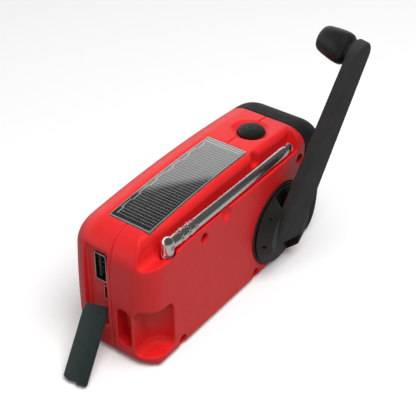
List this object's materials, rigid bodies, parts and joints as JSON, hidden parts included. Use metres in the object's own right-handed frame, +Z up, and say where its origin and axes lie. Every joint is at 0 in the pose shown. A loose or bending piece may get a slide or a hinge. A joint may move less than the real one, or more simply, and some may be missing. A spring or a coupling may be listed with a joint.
{
  "type": "hand crank emergency radio",
  "caption": "Hand-crank emergency radio: red case, black flashlight head, roof solar panel, folding crank, telescopic antenna, charging ports under a rubber cover.",
  "frame": {"origin": "centre of the bottom rest face", "axes": "+X towards the charging ports, +Y towards the crank at the rear, +Z up"},
  "size_m": [0.1499, 0.0653, 0.1057],
  "materials": {
    "red_shell": "satin moulded ABS",
    "black_shell": "fine textured ABS",
    "rubber": "matte rubber",
    "chrome": "polished",
    "steel": "plain",
    "clear": "clear polycarbonate",
    "led_resin": "clear resin",
    "solar": "cell under clear resin",
    "board": "circuit board",
    "copper": "enamelled copper",
    "nylon": "white nylon",
    "cell_wrap": "shrink wrap",
    "ferrite": "dark"
  },
  "bodies": {
    "case": {"rear_case": "red_shell", "front_case": "red_shell", "lamp_head": "black_shell", "crank_bezel": "black_shell", "speaker_grille": "black_shell", "antenna_base": "chrome", "lamp_reflector": "chrome", "case_screw_1": "steel", "case_screw_2": "steel", "case_screw_3": "steel", "case_screw_4": "steel", "compound_arbor": "steel", "gearbox_plate": "steel", "generator_can": "steel", "usb_shell": "steel", "micro_usb_shell": "steel", "speaker_frame": "steel", "lamp_lens": "clear", "dial_window": "clear", "lamp_led_1": "led_resin", "lamp_led_2": "led_resin", "lamp_led_3": "led_resin", "charge_lamp": "led_resin", "solar_panel": "solar", "main_board": "board", "lamp_board": "board", "aerial_coil": "copper", "usb_tongue": "nylon", "dial_plate": "nylon", "tuning_capacitor": "nylon", "battery_pack": "cell_wrap", "ferrite_rod": "ferrite", "speaker_magnet": "ferrite", "speaker_cone": "ferrite", "button_switch": "ferrite"},
    "crank": {"crank_hub": "black_shell", "arm_hinge_pin": "steel", "drive_gear": "nylon", "crank_shaft": "steel"},
    "arm": {"crank_arm": "black_shell", "knob_pin": "steel"},
    "knob": {"crank_knob": "black_shell"},
    "compound": {"compound_gear": "nylon"},
    "rotor": {"generator_rotor": "copper", "rotor_pinion": "steel"},
    "antenna": {"antenna_fork": "chrome", "antenna_pin": "steel", "antenna_tube_1": "chrome"},
    "antenna_second": {"antenna_tube_2": "chrome"},
    "antenna_third": {"antenna_tube_3": "chrome"},
    "antenna_fourth": {"antenna_tube_4": "chrome", "antenna_tip": "chrome"},
    "cover": {"port_cover": "rubber"},
    "button": {"lamp_button": "rubber"},
    "tuning": {"tuning_knob": "black_shell"},
    "needle": {"dial_needle": "red_shell"},
    "volume": {"volume_knob": "black_shell"},
    "band": {"band_switch": "black_shell"}
  },
  "joints": [
    {"name": "crank_spin", "type": "hinge", "parent": "case", "child": "crank", "pos_m": [-0.024, 0.022, 0.0215], "axis": [0, -1, 0], "continuous": true},
    {"name": "arm_fold", "type": "hinge", "parent": "crank", "child": "arm", "pos_m": [-0.0231, 0.0265, 0.01864], "axis": [-0.9537, 0, -0.3007], "range_deg": [-6.3, 171]},
    {"name": "knob_spin", "type": "hinge", "parent": "arm", "child": "knob", "pos_m": [-0.04805, 0.03964, 0.09777], "axis": [0.047, 0.9877, -0.1492], "continuous": true},
    {"name": "compound_spin", "type": "hinge", "parent": "case", "child": "compound", "pos_m": [-0.00643, 0.012, 0.0279], "axis": [0, -1, 0], "continuous": true},
    {"name": "rotor_spin", "type": "hinge", "parent": "case", "child": "rotor", "pos_m": [0.01073, 0.005, 0.02487], "axis": [0, -1, 0], "continuous": true},
    {"name": "antenna_lift", "type": "hinge", "parent": "case", "child": "antenna", "pos_m": [0.048, 0.0182, 0.0531], "axis": [0, 1, 0], "range_deg": [0, 105]},
    {"name": "antenna_pull_1", "type": "slide", "parent": "antenna", "child": "antenna_second", "axis": [-1, 0, 0], "range_m": [0, 0.035]},
    {"name": "antenna_pull_2", "type": "slide", "parent": "antenna_second", "child": "antenna_third", "axis": [-1, 0, 0], "range_m": [0, 0.035]},
    {"name": "antenna_pull_3", "type": "slide", "parent": "antenna_third", "child": "antenna_fourth", "axis": [-1, 0, 0], "range_m": [0, 0.035]},
    {"name": "cover_swing", "type": "hinge", "parent": "case", "child": "cover", "pos_m": [0.0629, -0.0059, 0.0219], "axis": [0.0804, -0.9926, -0.0911], "range_deg": [-4, 131.66]},
    {"name": "lamp_press", "type": "slide", "parent": "case", "child": "button", "axis": [0, 0, -1], "range_m": [0, 0.001], "stiffness_N_per_m": 500},
    {"name": "tuning_turn", "type": "hinge", "parent": "case", "child": "tuning", "pos_m": [0.043, -0.0191, 0.0135], "axis": [0, -1, 0], "range_deg": [-150, 150]},
    {"name": "needle_travel", "type": "slide", "parent": "case", "child": "needle", "axis": [1, 0, 0], "range_m": [-0.018, 0.018]},
    {"name": "volume_turn", "type": "hinge", "parent": "case", "child": "volume", "pos_m": [0.023, -0.0191, 0.0135], "axis": [0, 1, 0], "range_deg": [0, 270]},
    {"name": "band_select", "type": "slide", "parent": "case", "child": "band", "axis": [1, 0, 0], "range_m": [-0.0028, 0.0028]}
  ],
  "couplings": [
    {"joint": "compound_spin", "follows": "crank_spin", "ratio": -3.4},
    {"joint": "rotor_spin", "follows": "crank_spin", "ratio": 10.54},
    {"joint": "antenna_pull_1", "follows": "antenna_lift", "m_per_rad": 0.019099},
    {"joint": "antenna_pull_2", "follows": "antenna_lift", "m_per_rad": 0.019099},
    {"joint": "antenna_pull_3", "follows": "antenna_lift", "m_per_rad": 0.019099},
    {"joint": "needle_travel", "follows": "tuning_turn", "m_per_rad": 0.0068755}
  ]
}
